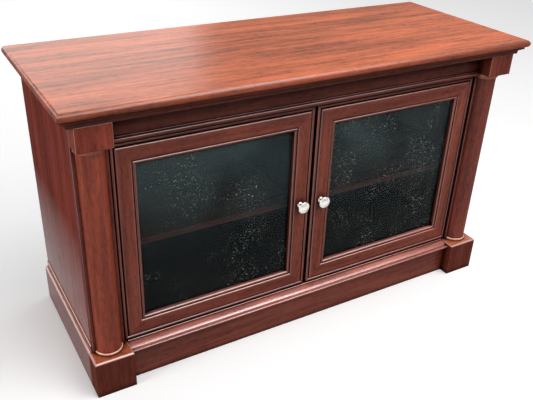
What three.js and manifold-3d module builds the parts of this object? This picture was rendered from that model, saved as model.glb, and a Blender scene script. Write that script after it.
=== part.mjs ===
// Low media console: two framed glass doors between part-round columns, under a moulded top.
// Lengths are millimetres. +X is to the right as seen from the front, +Y to the back and +Z up.
// The origin is on the floor, under the middle of the top.
import * as THREE from "three";
import { mergeVertices } from "three/addons/utils/BufferGeometryUtils.js";
import Module from "manifold-3d";

const wasm = await Module();
wasm.setup();

// Clearances
const glueLine = 0.1; // between pieces that are fastened together
const cutClearance = 0.3; // around a piece that sits in a hole, and behind a piece that was cut
const overrun = 15; // how far a cut runs past the piece it cuts
const weldDistance = 0.001;

// Top
const overallHeight = 705;
const topLength = 1212;
const topDepth = 463;
const topThickness = 19;
const topNoseRadius = 9;

// Cornice, the moulded frame under the top
const corniceHeight = 18;
const corniceWidth = 60;
const corniceSetback = 8.8; // in from the edge of the top
const corniceStripHeight = 5;
const corniceSoffit = 4; // flat underside of the strip
const corniceOvolo = 3.8;
const corniceCoveReach = 3.1;
const corniceCoveHeight = 7.2;

// Case
const sideSetback = 32.8; // in from the end of the top
const sideThickness = 18;
const rearSetback = 5; // in from the back of the top
const pilasterWidth = 74.7;
const pilasterThickness = 18;
const pilasterSetback = 62; // in from the front of the top
const bottomThickness = 16;
const uprightThickness = 18;
const uprightSetback = 3; // behind the closed doors
const backThickness = 4;
const backInset = 2;
const backDrop = 60; // below the bottom panel

// Columns, with what they stand on and what they carry
const plinthHeight = 98.5;
const plinthReveal = 8.9; // how far the plinth block stands out beside the pilaster
const plinthProjection = 39.3; // in front of the pilaster
const plinthReturn = 8.7; // behind the pilaster's front
const plinthNose = 6;
const columnRadius = 30;
const columnAxisDepth = 5.5; // behind the pilaster's front
const ringHeight = 8;
const ringSeat = 0.5; // of its flat top beyond the column
const ringBulge = 2.5;
const collarHeight = 14.6;
const collarFilletRadius = 31.3;
const collarFilletHeight = 2.6;
const collarBeadHeight = 8.8;
const collarBeadBulge = 3.2;
const collarNeckRadius = 32;
const capitalHeight = 53.4;
const capitalProjection = 42.5; // in front of the pilaster

// Frieze, over the doors
const friezeDepth = 22;
const friezeProjection = 5; // in front of the pilaster
const friezeDrop = 8.6; // below the capital
const friezeMouldingProjection = 6.5;
const friezeBeadHeight = 3.2;
const friezeTorusHeight = 11.2;
const friezeTorusStep = 1.5;
const friezeMouldingRise = 2; // above the rail's foot

// Base, under the doors
const baseRailDepth = 21;
const baseMouldingTop = 100;
const baseMouldingHeight = 13.7;
const baseMouldingProjection = 13.7; // in front of the base rail
const baseStripSetback = 30; // from the front of the moulding
const baseStripHeight = 4;
const baseStripEase = 0.7;
const baseSlopeSetback = 29.5;
const baseSlopeRadius = 40.9;
const baseSlopeStart = 98; // degrees from level, looking back
const baseSlopeEnd = 122;
const baseNoseRadius = 4.75;
const baseNoseEnd = 158;
const baseBeadRadius = 2.4;

// Side skirts
const skirtChamferDrop = 6;
const skirtCoveTop = 108;
const skirtTop = 114.6;
const skirtBead = 3;
const skirtLedge = 2.6;
const skirtCoveReach = 1.1;

// Doors
const doorThickness = 20;
const doorInset = 4; // behind the pilaster's front
const doorSideGap = 3;
const doorMeetingGap = 8;
const doorTopGap = 5;
const doorBottomGap = 3;
const frameWidth = 53;
const edgeBeadRadius = 4;
const edgeBeadDrop = 1;
const quirkWidth = 1.5;
const quirkDrop = 2;
const shoulderRadius = 4.5;
const innerShoulderRadius = 3.5;
const innerQuirkWidth = 1;
const innerQuirkDrop = 2;
const beadRadius = 3.75;
const beadDrop = 1.25;
const rebateDrop = 12;
const rebateWidth = 8;
const glassThickness = 4;
const glassPlay = 1;
const retainerWidth = 7;
const retainerRecess = 1;

// Knobs, each one solid with its screw
const knobRadius = 15.5;
const knobProjection = 22.5;
const knobHeight = 349; // above the floor
const knobScrewRadius = 2;
const knobScrewHeadRadius = 4.5;
const knobScrewHeadHeight = 2.2;
const knobProfileShares = [
  [0.5, 0],
  [0.52, 0.05],
  [0.45, 0.1],
  [0.33, 0.16],
  [0.3, 0.3],
  [0.34, 0.44],
  [0.55, 0.55],
  [0.86, 0.6],
  [0.97, 0.66],
  [1, 0.74],
  [0.96, 0.82],
  [0.84, 0.87],
  [0.78, 0.85],
  [0.72, 0.87],
  [0.5, 0.95],
  [0.26, 0.99],
];

// Concealed hinges
const hingeOffset = 95; // from the top and bottom of the door
const cupInset = 22; // from the hinge edge of the door
const cupRadius = 17.5;
const cupDepth = 11.5;
const cupWall = 2.5;
const cupFloor = 2;
const flangeLength = 60;
const flangeWidth = 24;
const flangeThickness = 1.2;
const hingePlateLength = 50;
const hingePlateWidth = 40;
const hingePlateOffset = 4; // from the inner edge of the pilaster
const hingePlateThickness = 2.5;
const hingeArmWidth = 14;
const hingeArmThickness = 7.4;
const hingeArmReach = 22; // over the door, past the pilaster's edge
const hingeArmTaper = 4;
const hingeBlockLength = 24;

// Shelves and their pins
const shelfTop = 340;
const shelfThickness = 16;
const shelfSetback = 22; // behind the closed doors
const shelfPlay = 1;
const shelfRearGap = 3;
const pinRadius = 2.5;
const pinLength = 16;
const pinInset = 50; // from the front and back of the shelf
const pinHolePitch = 32;
const pinHoleDepth = 9;
const pinHoleRows = 3;

// Cable holes in the back panel
const cableHoleWidth = 90;
const cableHoleHeight = 55;
const cableHoleRise = 30; // above the bottom panel

// Facets
const noseSteps = 6;
const arcSteps = 6;
const columnSteps = 26;
const turnedSteps = 40;
const knobSteps = 32;
const holeSteps = 12;
const cupSteps = 32;

// Finishes
const topWood = new THREE.MeshStandardMaterial({ color: 0x7c3324, roughness: 0.3, metalness: 0 });
const caseWood = new THREE.MeshStandardMaterial({ color: 0x5c261c, roughness: 0.35, metalness: 0 });
const columnWood = new THREE.MeshStandardMaterial({ color: 0x743020, roughness: 0.3, metalness: 0 });
const doorWood = new THREE.MeshStandardMaterial({ color: 0x58241c, roughness: 0.32, metalness: 0 });
const insideWood = new THREE.MeshStandardMaterial({ color: 0x44201a, roughness: 0.5, metalness: 0 });
const backBoard = new THREE.MeshStandardMaterial({ color: 0x33201a, roughness: 0.8, metalness: 0 });
const paneGlass = new THREE.MeshStandardMaterial({
  color: 0x22302f,
  roughness: 0.05,
  metalness: 0,
  transparent: true,
  opacity: 0.4,
});
const satinNickel = new THREE.MeshStandardMaterial({ color: 0xc0bcb4, roughness: 0.3, metalness: 1 });
const hingeSteel = new THREE.MeshStandardMaterial({ color: 0xa9abad, roughness: 0.35, metalness: 1 });
const blackPlastic = new THREE.MeshStandardMaterial({ color: 0x1b1b1c, roughness: 0.6, metalness: 0 });

// Heights worked out from the sizes above
const topUnderside = overallHeight - topThickness;
const corniceUnderside = topUnderside - corniceHeight;
const capitalUnderside = corniceUnderside - capitalHeight;
const collarUnderside = capitalUnderside - collarHeight;
const columnFoot = plinthHeight + ringHeight;
const friezeUnderside = capitalUnderside - friezeDrop;
const doorFoot = baseMouldingTop + doorBottomGap;
const doorHeight = friezeUnderside - doorTopGap - doorFoot;
const doorMiddle = doorFoot + doorHeight / 2;
const shelfUnderside = shelfTop - shelfThickness;
const pinHeight = shelfUnderside - pinRadius - glueLine;

// Places along X
const sideFace = topLength / 2 - sideSetback;
const sideInner = sideFace - sideThickness;
const pilasterInner = sideFace - pilasterWidth;
const columnX = sideFace - pilasterWidth / 2;
const plinthInner = pilasterInner - plinthReveal;
const skirtFace = sideFace + plinthReveal;
const doorWidth = pilasterInner - doorSideGap - doorMeetingGap / 2;
const doorX = doorMeetingGap / 2 + doorWidth / 2;
const uprightFace = uprightThickness / 2;

// Places along Y
const topFront = -topDepth / 2;
const topRear = topDepth / 2;
const caseRear = topRear - rearSetback;
const pilasterFront = topFront + pilasterSetback;
const pilasterRear = pilasterFront + pilasterThickness;
const columnY = pilasterFront + columnAxisDepth;
const plinthFront = pilasterFront - plinthProjection;
const plinthRear = pilasterFront + plinthReturn;
const plinthDepth = plinthRear - plinthFront;
const friezeFront = pilasterFront - friezeProjection;
const baseRailFront = plinthRear - baseRailDepth;
const doorFront = pilasterFront + doorInset;
const doorRear = doorFront + doorThickness;
const backRear = caseRear - backInset;
const backFront = backRear - backThickness;
const shelfFront = doorRear + shelfSetback;
const shelfRear = backFront - shelfRearGap;

const right = new THREE.Vector3(1, 0, 0);
const left = new THREE.Vector3(-1, 0, 0);
const back = new THREE.Vector3(0, 1, 0);
const up = new THREE.Vector3(0, 0, 1);
const down = new THREE.Vector3(0, 0, -1);

// Points along an elliptic arc, from one angle to another in degrees.
function arc(x, y, radiusX, radiusY, from, to) {
  return Array.from({ length: arcSteps + 1 }, (_, i) => {
    const angle = THREE.MathUtils.degToRad(from + ((to - from) * i) / arcSteps);
    return [x + radiusX * Math.cos(angle), y + radiusY * Math.sin(angle)];
  });
}

function outline(points) {
  return new THREE.Shape(points.map(([x, y]) => new THREE.Vector2(x, y)));
}

// The solid of a closed geometry, for joining and cutting.
function solidOf(geometry) {
  const bare = geometry.clone();
  bare.deleteAttribute("normal");
  bare.deleteAttribute("uv");
  const merged = mergeVertices(bare, weldDistance);
  const mesh = new wasm.Mesh({
    numProp: 3,
    vertProperties: merged.getAttribute("position").array,
    triVerts: Uint32Array.from(merged.index.array),
  });
  return new wasm.Manifold(mesh);
}

function geometryOf(solid) {
  const { vertProperties, triVerts } = solid.getMesh();
  const indexed = new THREE.BufferGeometry();
  indexed.setAttribute("position", new THREE.BufferAttribute(vertProperties, 3));
  indexed.setIndex(new THREE.BufferAttribute(triVerts, 1));
  const geometry = indexed.toNonIndexed();
  geometry.computeVertexNormals();
  return geometry;
}

function cut(geometry, tools) {
  return geometryOf(tools.reduce((rest, tool) => rest.subtract(solidOf(tool)), solidOf(geometry)));
}

function joined(first, second) {
  return geometryOf(solidOf(first).add(solidOf(second)));
}

// A box between two bounds on each axis.
function block([x0, x1], [y0, y1], [z0, z1]) {
  const box = new THREE.BoxGeometry(x1 - x0, y1 - y0, z1 - z0);
  return box.translate((x0 + x1) / 2, (y0 + y1) / 2, (z0 + z1) / 2);
}

function kept(geometry, x, y, z) {
  return geometryOf(solidOf(geometry).intersect(solidOf(block(x, y, z))));
}

// A rod along Y, for cups, screws and the holes they sit in.
function rod(radius, x, [y0, y1], z, steps) {
  return new THREE.CylinderGeometry(radius, radius, y1 - y0, steps).translate(x, (y0 + y1) / 2, z);
}

// A turned piece that stands on the origin, its profile read from the foot up.
function turned(profile, steps) {
  const points = profile.map(([radius, height]) => new THREE.Vector2(radius, height));
  return new THREE.LatheGeometry(points, steps).rotateX(Math.PI / 2);
}

// A bar of one section. Its first section axis points in from the outer edge, and a mitred end
// slopes in with it.
function bar(section, length, mitredStart, mitredEnd) {
  const geometry = new THREE.ExtrudeGeometry(outline(section), {
    depth: length - glueLine,
    bevelEnabled: false,
  });
  geometry.translate(0, 0, glueLine / 2);
  const points = geometry.getAttribute("position");
  for (let i = 0; i < points.count; i += 1) {
    const along = points.getZ(i);
    const inward = points.getX(i);
    if (along < length / 2 && mitredStart) points.setZ(i, along + inward);
    if (along > length / 2 && mitredEnd) points.setZ(i, along - inward);
  }
  geometry.computeVertexNormals();
  return geometry;
}

// A block whose front and ends are rounded, at the top edge or at both edges. It stands on the
// origin with its front at zero.
function nosedBlock(width, depth, height, radius, bothEdges) {
  const spare = bothEdges ? 0 : radius + overrun;
  const half = width / 2 - radius;
  const far = depth + radius + overrun;
  const plan = outline([
    [-half, radius],
    [half, radius],
    [half, far],
    [-half, far],
  ]);
  const geometry = new THREE.ExtrudeGeometry(plan, {
    depth: height - 2 * radius + spare,
    bevelThickness: radius,
    bevelSize: radius,
    bevelSegments: noseSteps,
  });
  geometry.translate(0, 0, radius - spare);
  const foot = bothEdges ? -overrun : 0;
  return kept(geometry, [-width, width], [-overrun, depth], [foot, height + overrun]);
}

const cabinet = new THREE.Group();

function piece(name, geometry, material, parent = cabinet) {
  const mesh = new THREE.Mesh(geometry, material);
  mesh.name = name;
  parent.add(mesh);
  return mesh;
}

// A board between two bounds on each axis, with a glue line left around it.
function board(name, [x0, x1], [y0, y1], [z0, z1], material, parent) {
  const size = [x1 - x0 - glueLine, y1 - y0 - glueLine, z1 - z0 - glueLine];
  const mesh = piece(name, new THREE.BoxGeometry(...size), material, parent);
  mesh.position.set((x0 + x1) / 2, (y0 + y1) / 2, z0 + (z1 - z0 - glueLine) / 2);
  return mesh;
}

// Cuts tools that stand in the cabinet's own frame out of a board.
function carve(mesh, tools) {
  const { x, y, z } = mesh.position;
  const placed = tools.map((tool) => tool.translate(-x, -y, -z));
  mesh.geometry = cut(mesh.geometry, placed);
}

// Turns a bar so that its section axes point along the two directions given.
function aim(mesh, inward, across) {
  const along = new THREE.Vector3().crossVectors(inward, across);
  mesh.quaternion.setFromRotationMatrix(new THREE.Matrix4().makeBasis(inward, across, along));
  return mesh;
}

function addTop() {
  const slab = nosedBlock(topLength, topDepth, topThickness, topNoseRadius, true);
  piece("top_panel", slab, topWood).position.set(0, topFront, topUnderside);
}

// The cornice steps in under its strip with an ovolo, then a cove.
function corniceSection() {
  const soffit = corniceHeight - corniceStripHeight;
  const coveEdge = corniceSoffit + corniceOvolo;
  const coveFoot = soffit - corniceOvolo - corniceCoveHeight;
  return [
    [corniceWidth, 0],
    [corniceWidth, corniceHeight - glueLine],
    [0, corniceHeight - glueLine],
    [0, soffit],
    ...arc(coveEdge, soffit, corniceOvolo, corniceOvolo, 180, 270),
    ...arc(coveEdge, coveFoot, corniceCoveReach, corniceCoveHeight, 90, 0),
    [coveEdge + corniceCoveReach, 0],
  ];
}

function addCornice() {
  const end = topLength / 2 - corniceSetback;
  const front = topFront + corniceSetback;
  const reach = caseRear - front;
  const section = corniceSection();
  const frontBar = piece("cornice_front", bar(section, 2 * end, true, true), caseWood);
  aim(frontBar, back, up).position.set(-end, front, corniceUnderside);
  const rightBar = piece("cornice_right", bar(section, reach, true, false), caseWood);
  aim(rightBar, left, up).position.set(end, front, corniceUnderside);
  const leftBar = piece("cornice_left", bar(section, reach, false, true), caseWood);
  aim(leftBar, right, up).position.set(-end, caseRear, corniceUnderside);
  const inner = end - corniceWidth;
  const depth = [caseRear - corniceWidth, caseRear];
  board("rear_top_rail", [-inner, inner], depth, [corniceUnderside, topUnderside], insideWood);
}

function addFrieze() {
  const span = [-pilasterInner, pilasterInner];
  const depth = [friezeFront, friezeFront + friezeDepth];
  board("frieze_rail", span, depth, [friezeUnderside, corniceUnderside], caseWood);

  // A torus under a small bead, standing out from the rail.
  const torusHalf = friezeTorusHeight / 2;
  const beadHalf = friezeBeadHeight / 2;
  const bulge = friezeMouldingProjection - friezeTorusStep;
  const section = [
    [glueLine, friezeTorusHeight + friezeBeadHeight],
    [glueLine, 0],
    ...arc(friezeTorusStep, torusHalf, bulge, torusHalf, -90, 90),
    ...arc(friezeTorusStep, friezeTorusHeight + beadHalf, beadHalf, beadHalf, -60, 90),
  ];
  const forward = back.clone().negate();
  const moulding = piece("frieze_moulding", bar(section, 2 * pilasterInner, false, false), caseWood);
  const foot = friezeUnderside + friezeMouldingRise;
  aim(moulding, forward, up).position.set(pilasterInner, friezeFront, foot);
}

function addBase() {
  const span = [-plinthInner, plinthInner];
  const mouldingFoot = baseMouldingTop - baseMouldingHeight;
  board("base_rail", span, [baseRailFront, plinthRear], [0, mouldingFoot], caseWood);

  // A flat strip back under the doors, then a slope that rounds over into a nose, a groove and a
  // bead. The nose takes up the slope where it ends, and stops at the height of the groove.
  const depth = baseMouldingProjection + baseRailDepth;
  const stripFoot = baseMouldingHeight - baseStripHeight;
  const place = (x, y, radius, degrees) => {
    const angle = THREE.MathUtils.degToRad(degrees);
    return [x + radius * Math.cos(angle), y + radius * Math.sin(angle)];
  };
  const slopeCentre = place(baseSlopeSetback, stripFoot, -baseSlopeRadius, baseSlopeStart);
  const noseCentre = place(...slopeCentre, baseSlopeRadius - baseNoseRadius, baseSlopeEnd);
  const noseFoot = place(...noseCentre, baseNoseRadius, baseNoseEnd);
  const bead = 2 * baseBeadRadius;
  const section = [
    [depth, 0],
    [depth, baseMouldingHeight],
    [baseStripSetback + baseStripEase, baseMouldingHeight],
    [baseStripSetback, baseMouldingHeight - baseStripEase],
    [baseStripSetback, stripFoot],
    ...arc(...slopeCentre, baseSlopeRadius, baseSlopeRadius, baseSlopeStart, baseSlopeEnd),
    ...arc(...noseCentre, baseNoseRadius, baseNoseRadius, baseSlopeEnd, baseNoseEnd).slice(1),
    [bead, noseFoot[1]],
    ...arc(baseBeadRadius, baseBeadRadius, baseBeadRadius, baseBeadRadius, 0, 180),
    [0, 0],
  ];
  const moulding = piece("base_moulding", bar(section, 2 * plinthInner, false, false), caseWood);
  aim(moulding, back, up).position.set(-plinthInner, plinthRear - depth, mouldingFoot);
}

// The plinth block, ring, column, collar and capital of one side, in front of their pilaster.
function addColumn(side, sign) {
  const x = sign * columnX;
  const plinthWidth = pilasterWidth + 2 * plinthReveal - glueLine;
  const plinth = nosedBlock(plinthWidth, plinthDepth, plinthHeight, plinthNose, false);
  piece("plinth_block_" + side, plinth, columnWood).position.set(x, plinthFront, 0);

  const sector = THREE.MathUtils.radToDeg(Math.asin(columnAxisDepth / columnRadius));
  const steps = Array.from({ length: columnSteps + 1 }, (_, i) => i / columnSteps);
  const plan = steps.map((share) => {
    const angle = THREE.MathUtils.degToRad(180 + sector + share * (180 - 2 * sector));
    return [columnRadius * Math.cos(angle), columnRadius * Math.sin(angle) - glueLine];
  });
  const shaft = new THREE.ExtrudeGeometry(outline(plan), {
    depth: collarUnderside - columnFoot - glueLine,
    bevelEnabled: false,
  });
  piece("column_" + side, shaft, columnWood).position.set(x, columnY, columnFoot);

  const ringRadius = columnRadius + ringSeat;
  const ring = [
    [0, 0],
    ...arc(ringRadius, ringHeight / 2, ringBulge, ringHeight / 2, -90, 90),
    [0, ringHeight],
  ];
  piece("base_ring_" + side, halfTurned(ring), columnWood).position.set(x, columnY, plinthHeight);

  const beadMiddle = collarFilletHeight + collarBeadHeight / 2;
  const neckFoot = collarFilletHeight + collarBeadHeight;
  const collar = [
    [0, 0],
    [collarFilletRadius, 0],
    [collarFilletRadius, collarFilletHeight],
    ...arc(collarFilletRadius, beadMiddle, collarBeadBulge, collarBeadHeight / 2, -75, 75),
    [collarNeckRadius, neckFoot],
    [collarNeckRadius, collarHeight],
    [0, collarHeight],
  ];
  const collarPiece = piece("column_collar_" + side, halfTurned(collar), columnWood);
  collarPiece.position.set(x, columnY, collarUnderside);

  const width = [x - pilasterWidth / 2, x + pilasterWidth / 2];
  const depth = [pilasterFront - capitalProjection, pilasterFront];
  board("capital_block_" + side, width, depth, [capitalUnderside, corniceUnderside], columnWood);
}

// The part of a turned piece that stands in front of the pilaster.
function halfTurned(profile) {
  const seated = profile.map(([radius, height]) => [radius, Math.max(height - glueLine, 0)]);
  const reach = 2 * columnRadius;
  const front = [-reach, -columnAxisDepth - cutClearance];
  return kept(turned(seated, turnedSteps), [-reach, reach], front, [-reach, reach]);
}

// The skirt's face is flush with the plinth block. Above its round edge come a cove and a bead.
function skirtSection() {
  const roundFoot = plinthHeight - skirtChamferDrop;
  const roundIn = plinthReveal - skirtChamferDrop;
  const beadFoot = skirtTop - 2 * skirtBead;
  const coveHeight = skirtCoveTop - plinthHeight;
  return [
    [glueLine, 0],
    [plinthReveal, 0],
    ...arc(roundIn, roundFoot, skirtChamferDrop, skirtChamferDrop, 0, 90),
    [skirtLedge, plinthHeight],
    ...arc(skirtLedge, skirtCoveTop, skirtCoveReach, coveHeight, 270, 180),
    ...arc(glueLine, beadFoot + skirtBead, skirtBead, skirtBead, -60, 90),
  ];
}

function addSide(side, sign) {
  const bounds = (from, to) => (sign > 0 ? [from, to] : [-to, -from]);
  const pilasterHeight = [plinthHeight, corniceUnderside];
  const pilasterDepth = [pilasterFront, pilasterRear];
  board("pilaster_" + side, bounds(pilasterInner, sideFace), pilasterDepth, pilasterHeight, caseWood);

  const panel = board(
    "side_panel_" + side,
    bounds(sideInner, sideFace),
    [pilasterRear, caseRear],
    [0, corniceUnderside],
    caseWood,
  );
  carve(panel, pinHoles(sign * sideInner, -sign));

  const outward = sign > 0 ? right : left;
  const length = caseRear - plinthRear;
  const skirt = piece("side_skirt_" + side, bar(skirtSection(), length, false, false), caseWood);
  const start = sign > 0 ? caseRear : plinthRear;
  aim(skirt, outward, up).position.set(sign * sideFace, start, 0);
}

// Rows of shelf pin holes in a wall's face at the place given, which looks to +X or to -X.
function pinHoles(face, facing) {
  const radius = pinRadius + cutClearance;
  const length = pinHoleDepth + overrun;
  const x = face + facing * (length / 2 - pinHoleDepth);
  const holes = [];
  for (const y of pinPlaces()) {
    for (let row = 0; row < pinHoleRows; row += 1) {
      const z = pinHeight + (row - (pinHoleRows - 1) / 2) * pinHolePitch;
      const hole = new THREE.CylinderGeometry(radius, radius, length, holeSteps);
      holes.push(hole.rotateZ(Math.PI / 2).translate(x, y, z));
    }
  }
  return holes;
}

function pinPlaces() {
  return [shelfFront + pinInset, shelfRear - pinInset];
}

function addInside() {
  const floorPanel = [plinthHeight - bottomThickness, plinthHeight];
  board("bottom_panel", [-sideInner, sideInner], [plinthRear, backFront], floorPanel, insideWood);

  const upright = board(
    "centre_upright",
    [-uprightFace, uprightFace],
    [doorRear + uprightSetback, backFront],
    [plinthHeight, topUnderside],
    insideWood,
  );
  const notch = block(
    [-uprightThickness, uprightThickness],
    [caseRear - corniceWidth - cutClearance, caseRear],
    [corniceUnderside - cutClearance, overallHeight],
  );
  carve(upright, [...pinHoles(uprightFace, 1), ...pinHoles(-uprightFace, -1), notch]);

  const foot = plinthHeight - bottomThickness - backDrop;
  const panelHeight = [foot, corniceUnderside];
  const panel = board("back_panel", [-sideInner, sideInner], [backFront, backRear], panelHeight, backBoard);
  const holeFoot = plinthHeight + cableHoleRise;
  const middle = (sideInner + uprightFace) / 2;
  const holes = [-middle, middle].map((x) =>
    block(
      [x - cableHoleWidth / 2, x + cableHoleWidth / 2],
      [backFront - overrun, backRear + overrun],
      [holeFoot, holeFoot + cableHoleHeight],
    ),
  );
  carve(panel, holes);
}

function addShelf(side, sign) {
  const bounds = (from, to) => (sign > 0 ? [from, to] : [-to, -from]);
  const span = bounds(uprightFace + shelfPlay, sideInner - shelfPlay);
  board("shelf_" + side, span, [shelfFront, shelfRear], [shelfUnderside, shelfTop], insideWood);

  // Each pin is half in its hole and half under the shelf.
  const walls = { outer: sideInner, inner: uprightFace };
  for (const [wall, x] of Object.entries(walls)) {
    pinPlaces().forEach((y, i) => {
      const pin = new THREE.CylinderGeometry(pinRadius, pinRadius, pinLength, holeSteps);
      pin.rotateZ(Math.PI / 2);
      const name = ["shelf_pin", side, wall, i ? "rear" : "front"].join("_");
      piece(name, pin, satinNickel).position.set(sign * x, y, pinHeight);
    });
  }
}

// The door frame's section, from its outer edge in: a bead, a quirk, a round shoulder, the flat
// face, a second shoulder and quirk, and the bead around the glass with the rebate behind it.
function frameSection() {
  const edgeBead = 2 * edgeBeadRadius;
  const edgeBeadY = edgeBeadDrop + edgeBeadRadius;
  const quirkFloor = shoulderRadius + quirkDrop;
  const shoulder = edgeBead + quirkWidth;
  const faceStart = shoulder + shoulderRadius;
  const beadStart = frameWidth - 2 * beadRadius;
  const innerQuirk = beadStart - innerQuirkWidth;
  const faceEnd = innerQuirk - innerShoulderRadius;
  const innerQuirkFloor = innerShoulderRadius + innerQuirkDrop;
  const beadY = beadDrop + beadRadius;
  return [
    [0, doorThickness],
    ...arc(edgeBeadRadius, edgeBeadY, edgeBeadRadius, edgeBeadRadius, 180, 360),
    [edgeBead, quirkFloor],
    [shoulder, quirkFloor],
    ...arc(faceStart, shoulderRadius, shoulderRadius, shoulderRadius, 180, 270),
    ...arc(faceEnd, innerShoulderRadius, innerShoulderRadius, innerShoulderRadius, 270, 360),
    [innerQuirk, innerQuirkFloor],
    [beadStart, innerQuirkFloor],
    ...arc(frameWidth - beadRadius, beadY, beadRadius, beadRadius, 180, 360),
    [frameWidth, rebateDrop],
    [frameWidth - rebateWidth, rebateDrop],
    [frameWidth - rebateWidth, doorThickness],
  ];
}

// A door in its own group, with its origin in the middle of its front face.
function addDoor(side, sign) {
  const door = new THREE.Group();
  door.position.set(sign * doorX, doorFront, doorMiddle);
  cabinet.add(door);
  const section = frameSection();
  const halfWidth = doorWidth / 2;
  const halfHeight = doorHeight / 2;
  const frameBar = (name, length, holes, inward, x, z) => {
    const whole = bar(section, length, true, true);
    const mesh = piece(name + "_" + side, holes.length ? cut(whole, holes) : whole, doorWood, door);
    aim(mesh, inward, back).position.set(x, 0, z);
  };
  frameBar("door_bottom_rail", doorWidth, [], up, halfWidth, -halfHeight);
  frameBar("door_top_rail", doorWidth, [], down, -halfWidth, halfHeight);

  // The stile on the left runs up and the one on the right runs down.
  const cupHoles = [hingeOffset, doorHeight - hingeOffset].map((z) =>
    rod(
      cupRadius + cutClearance,
      cupInset,
      [doorThickness - cupDepth - cutClearance, doorThickness + overrun],
      z,
      cupSteps,
    ),
  );
  const knobZ = knobHeight - doorMiddle;
  const knobHoleZ = halfHeight + sign * knobZ;
  const screwHole = [-overrun, doorThickness + overrun];
  const knobHole = rod(knobScrewRadius + cutClearance, frameWidth / 2, screwHole, knobHoleZ, holeSteps);
  const outward = sign > 0 ? left : right;
  const inward = sign > 0 ? right : left;
  const hingeX = sign * halfWidth;
  frameBar("door_hinge_stile", doorHeight, cupHoles, outward, hingeX, sign * halfHeight);
  frameBar("door_meeting_stile", doorHeight, [knobHole], inward, -hingeX, -sign * halfHeight);

  addPane(side, door);
  const knob = piece("door_knob_" + side, knobGeometry(), satinNickel, door);
  knob.position.set(-sign * (halfWidth - frameWidth / 2), 0, knobZ);

  for (const [level, z] of [["lower", hingeOffset - halfHeight], ["upper", halfHeight - hingeOffset]]) {
    const cup = piece(["hinge_cup", side, level].join("_"), cupGeometry(), hingeSteel, door);
    cup.position.set(sign * (halfWidth - cupInset), doorThickness, z);
    const plate = piece(["hinge_plate", side, level].join("_"), plateGeometry(), hingeSteel);
    plate.position.set(sign * pilasterInner, pilasterRear, doorMiddle + z);
    plate.rotation.y = sign > 0 ? 0 : Math.PI;
  }
}

function addPane(side, door) {
  const openWidth = doorWidth - 2 * frameWidth;
  const openHeight = doorHeight - 2 * frameWidth;
  const spread = rebateWidth - glassPlay;
  const halfX = openWidth / 2 + spread;
  const halfZ = openHeight / 2 + spread;
  const glassDepth = [rebateDrop, rebateDrop + glassThickness];
  board("door_glass_" + side, [-halfX, halfX], glassDepth, [-halfZ, halfZ], paneGlass, door);

  const ring = outline([[-halfX, -halfZ], [halfX, -halfZ], [halfX, halfZ], [-halfX, halfZ]]);
  const inX = halfX - retainerWidth;
  const inZ = halfZ - retainerWidth;
  ring.holes.push(outline([[-inX, -inZ], [-inX, inZ], [inX, inZ], [inX, -inZ]]));
  const rear = doorThickness - retainerRecess;
  const depth = rear - rebateDrop - glassThickness;
  const frame = new THREE.ExtrudeGeometry(ring, { depth, bevelEnabled: false });
  frame.rotateX(Math.PI / 2);
  piece("glass_retainer_" + side, frame, blackPlastic, door).position.y = rear;
}

// The knob looks along -Y. Its screw goes through the stile, with the head behind.
function knobGeometry() {
  const seat = -doorThickness - glueLine;
  const profile = [
    [0, seat - knobScrewHeadHeight],
    [knobScrewHeadRadius, seat - knobScrewHeadHeight],
    [knobScrewHeadRadius, seat],
    [knobScrewRadius, seat],
    [knobScrewRadius, glueLine],
    ...knobProfileShares.map(([r, h]) => [r * knobRadius, glueLine + h * knobProjection]),
    [0, glueLine + knobProjection],
  ];
  return turned(profile, knobSteps).rotateX(Math.PI / 2);
}

// The cup sits in the stile from behind, under a flange that lies on the stile.
function cupGeometry() {
  const rear = glueLine + flangeThickness;
  const cup = rod(cupRadius, 0, [-cupDepth, rear], 0, cupSteps);
  const flange = block(
    [-flangeWidth / 2, flangeWidth / 2],
    [glueLine, rear],
    [-flangeLength / 2, flangeLength / 2],
  );
  const recess = rod(cupRadius - cupWall, 0, [cupFloor - cupDepth, rear + overrun], 0, cupSteps);
  return cut(joined(cup, flange), [recess]);
}

// The plate lies on the back of the pilaster, and its arm reaches over the cup.
function plateGeometry() {
  const plateEnd = hingePlateOffset + hingePlateWidth;
  const plateRear = glueLine + hingePlateThickness;
  const plate = block(
    [hingePlateOffset, plateEnd],
    [glueLine, plateRear],
    [-hingePlateLength / 2, hingePlateLength / 2],
  );
  const doorBehind = doorRear - pilasterRear;
  const armFront = doorBehind + glueLine + flangeThickness + cutClearance;
  const armRear = armFront + hingeArmThickness;
  const blockStart = 2 * hingePlateOffset;
  const blockEnd = blockStart + hingeBlockLength;
  const plan = outline([
    [-hingeArmReach, armFront],
    [blockStart, armFront],
    [blockStart, plateRear - glueLine],
    [blockEnd, plateRear - glueLine],
    [blockEnd, armRear],
    [hingeArmTaper - hingeArmReach, armRear],
    [-hingeArmReach, armRear - hingeArmTaper],
  ]);
  const arm = new THREE.ExtrudeGeometry(plan, { depth: hingeArmWidth, bevelEnabled: false });
  arm.translate(0, 0, -hingeArmWidth / 2);
  return joined(plate, arm);
}

addTop();
addCornice();
addFrieze();
addBase();
addInside();
for (const [side, sign] of [["left", -1], ["right", 1]]) {
  addColumn(side, sign);
  addSide(side, sign);
  addShelf(side, sign);
  addDoor(side, sign);
}

export default cabinet;
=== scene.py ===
# %% [markdown]
# A low media console, dressed for its portrait
#
# The console is a long cabinet with a moulded top, two glass doors and a half-round column at
# each front corner. Its construction comes in as a fixed frame of named pieces at their real
# size. This file gives those pieces their finish, adds the small fittings that are too fine for
# the frame, and sets up the floor, the lights and the camera.

# %% Load the frame
import math

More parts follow.
